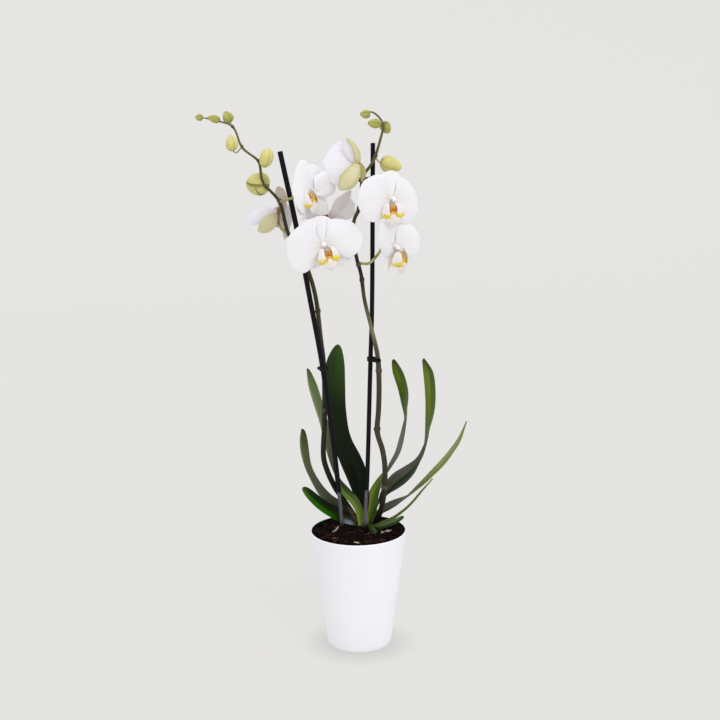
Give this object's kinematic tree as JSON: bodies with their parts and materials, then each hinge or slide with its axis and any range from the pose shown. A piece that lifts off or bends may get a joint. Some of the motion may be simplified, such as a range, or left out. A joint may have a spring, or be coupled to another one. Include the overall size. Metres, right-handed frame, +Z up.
{
  "type": "potted orchid",
  "caption": "Moth orchid with white flowers on arching spikes tied to stakes, strap leaves and bark, in a plain tapered white pot.",
  "frame": {"origin": "centre of the pot's flat underside, on the surface it stands on", "axes": "+Z up, -Y towards the viewer that the open flowers look at, +X to the right as they are seen"},
  "size_m": [0.3486, 0.13, 0.7242],
  "materials": {
    "pot": "satin",
    "bark": "matte",
    "stakes": "satin",
    "clips": "satin",
    "spikes": "satin",
    "crown": "satin",
    "leaves": "satin",
    "buds": "satin",
    "petals": "matte",
    "lips": "matte"
  },
  "bodies": {
    "root": {"stake_left": "stakes", "stake_right": "stakes", "spike_left": "spikes", "spike_right": "spikes", "crown": "crown", "clip_left": "clips", "clip_right": "clips", "clip_top": "clips", "leaf_upright": "leaves", "leaf_upper_left": "leaves", "leaf_left": "leaves", "leaf_lower_left": "leaves", "leaf_right": "leaves", "leaf_tall_right": "leaves", "leaf_far_right": "leaves", "leaf_thin_right": "leaves", "leaf_short_right": "leaves", "leaf_small_front": "leaves", "bud_left_1": "buds", "bud_left_2": "buds", "bud_left_3": "buds", "bud_left_4": "buds", "bud_left_5": "buds", "bud_left_6": "buds", "bud_right_1": "buds", "bud_right_2": "buds", "bud_right_3": "buds", "bud_right_4": "buds", "flower_front": "petals", "flower_front_lip": "lips", "flower_back_left": "petals", "flower_back_left_lip": "lips", "flower_upper_left": "petals", "flower_upper_left_lip": "lips", "flower_lower_right": "petals", "flower_lower_right_lip": "lips", "flower_back": "petals", "flower_back_lip": "lips", "flower_upper_right": "petals", "flower_upper_right_lip": "lips", "flower_half_open": "petals", "flower_half_open_lip": "lips", "bark": "bark", "pot": "pot"}
  },
  "joints": []
}
